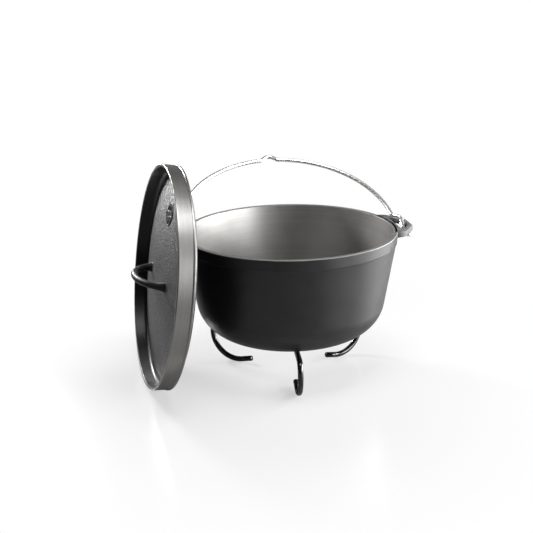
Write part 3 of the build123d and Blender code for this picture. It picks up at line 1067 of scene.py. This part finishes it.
class BuildStage(bpy.types.Operator):
    """Sets the pale floor, the soft lights and the camera"""

    bl_idname = "dutch_oven.build_stage"
    bl_label = "Build Stage"

    def execute(self, context):
        scene, sizes = context.scene, context.scene.oven_stage
        scene.view_settings.view_transform = "Standard"
        self.lay_floor(sizes)
        self.fill_world(scene)
        self.hang_lights()
        self.stand_camera(scene, sizes)
        return {"FINISHED"}

    def hang_lights(self):
        """Five softboxes; the one at the back is small and close, and lights the standing lid's top."""
        lid_top = (-0.19, 0.0, 0.26)
        softbox("key_softbox", 58.0, 14.0, distance=1.5, width=0.7, height=0.7, power=27.0)
        softbox("edge_softbox", 104.0, 2.0, distance=1.5, width=1.3, height=1.4, power=150.0)
        softbox("top_softbox", 26.0, 74.0, distance=1.6, width=0.7, height=0.5, power=24.0)
        softbox(
            "back_softbox", -147.0, 15.0, distance=0.65, width=0.18, height=0.14, power=9.0,
            target=lid_top,
        )
        softbox("left_softbox", -112.0, 24.0, distance=1.7, width=0.5, height=0.5, power=5.0)

    def stand_camera(self, scene, sizes):
        """The camera, turned to its direction and then about its own line."""
        camera = bpy.data.objects.new("view_camera", bpy.data.cameras.new("view_camera"))
        scene.collection.objects.link(camera)
        camera.data.lens = sizes.lens
        camera.data.sensor_width = 36.0
        camera.data.clip_start = 0.01
        camera.data.clip_end = 200.0
        look = Vector(sizes.camera_look).normalized()
        right = look.cross(UP).normalized()
        up = right.cross(look)
        roll = sizes.camera_roll
        rolled_right = right * cos(roll) + up * sin(roll)
        rolled_up = up * cos(roll) - right * sin(roll)
        facing = Matrix((rolled_right, rolled_up, -look)).transposed().to_4x4()
        camera.matrix_world = Matrix.Translation(Vector(sizes.camera_place)) @ facing
        scene.camera = camera

    def lay_floor(self, sizes):
        """A wide pale floor that gives way to plain white where it is seen far from the pot.

        Its colour is darker where it only lights the object, so that the dark iron stays dark.
        """
        bm = bmesh.new()
        bmesh.ops.create_circle(bm, cap_ends=True, segments=64, radius=sizes.floor_reach)
        mesh = bpy.data.meshes.new("pale_floor")
        bm.to_mesh(mesh)
        bm.free()
        recipe = new_recipe("pale_floor")
        spot = recipe.spot()
        away = recipe.node("ShaderNodeVectorMath", {"operation": "LENGTH"}, {0: spot}, output="Value")
        seen = recipe.node("ShaderNodeLightPath", output="Is Camera Ray")
        near, far_off, looked_at = (
            rgba(sizes.floor_colour, part)
            for part in (sizes.near_shade, sizes.far_shade, sizes.seen_shade)
        )
        lighting = recipe.mix(recipe.fade(away, low=0.45, high=0.75), near, far_off)
        shade = recipe.mix(seen, lighting, looked_at)
        lit = recipe.node(
            "ShaderNodeBsdfPrincipled", {},
            {"Base Color": shade, "Roughness": 0.22, "Specular IOR Level": 0.3,
             "Emission Color": WHITE, "Emission Strength": sizes.floor_glow * seen},
        )
        white = recipe.node("ShaderNodeEmission", {}, {"Color": WHITE, "Strength": 1.0})
        far = recipe.fade(away, low=0.2, high=0.5) * seen
        surface = recipe.node("ShaderNodeMixShader", {}, {0: far, 1: lit, 2: white})
        recipe.node("ShaderNodeOutputMaterial", {}, {"Surface": surface})
        mesh.materials.append(recipe.owner)
        floor = bpy.data.objects.new("pale_floor", mesh)
        bpy.context.scene.collection.objects.link(floor)

    def fill_world(self, scene):
        """White where it is seen, and a dim grey room in reflections."""
        world = bpy.data.worlds.new("pale_room")
        scene.world = world
        recipe = Recipe(world)
        seen = recipe.node("ShaderNodeLightPath", output="Is Camera Ray")
        white = recipe.node("ShaderNodeBackground", {}, {"Color": WHITE, "Strength": 1.0})
        heading = recipe.node("ShaderNodeTexCoord", output="Generated")
        upward = recipe.node("ShaderNodeSeparateXYZ", {}, {0: heading}, output="Z")
        glow = recipe.fade(upward, low=0.3, high=1.0, to_low=0.03, to_high=0.06)
        room = recipe.node("ShaderNodeBackground", {}, {"Color": WHITE, "Strength": glow})
        surface = recipe.node("ShaderNodeMixShader", {}, {0: seen, 1: room, 2: white})
        recipe.node("ShaderNodeOutputWorld", {}, {"Surface": surface})


# ---------------------------------------------------------------- panel and running

GROUPS = {
    "oven_pot": PotSizes,
    "oven_ears": EarSizes,
    "oven_bail": BailSizes,
    "oven_stand": StandSizes,
    "oven_lid": LidSizes,
    "oven_handle": HandleSizes,
    "oven_badge": BadgeSizes,
    "oven_stage": StageSizes,
}
BUILDERS = (BuildStage, BuildPot, BuildEars, BuildBail, BuildStand, BuildLid, BuildHandle, BuildBadge)


class OvenPanel(bpy.types.Panel):
    """Lists the steps that build the pot, with their sizes and colours"""

    bl_idname = "VIEW3D_PT_dutch_oven"
    bl_label = "Camp Dutch Oven"
    bl_space_type = "VIEW_3D"
    bl_region_type = "UI"
    bl_category = "Dutch Oven"

    def draw(self, context):
        for builder in BUILDERS:
            self.layout.operator(builder.bl_idname)
        for name, group in GROUPS.items():
            box = self.layout.box()
            box.label(text=group.__name__)
            for key in group.__annotations__:
                box.prop(getattr(context.scene, name), key)


def register():
    for group in (*GROUPS.values(), *BUILDERS, OvenPanel):
        bpy.utils.register_class(group)
    for name, group in GROUPS.items():
        setattr(bpy.types.Scene, name, PointerProperty(type=group))


def unregister():
    for name in GROUPS:
        delattr(bpy.types.Scene, name)
    for group in reversed((*GROUPS.values(), *BUILDERS, OvenPanel)):
        bpy.utils.unregister_class(group)


def main():
    register()
    for builder in BUILDERS:
        section, step = builder.bl_idname.split(".")
        getattr(getattr(bpy.ops, section), step)()


if __name__ == "__main__":
    main()
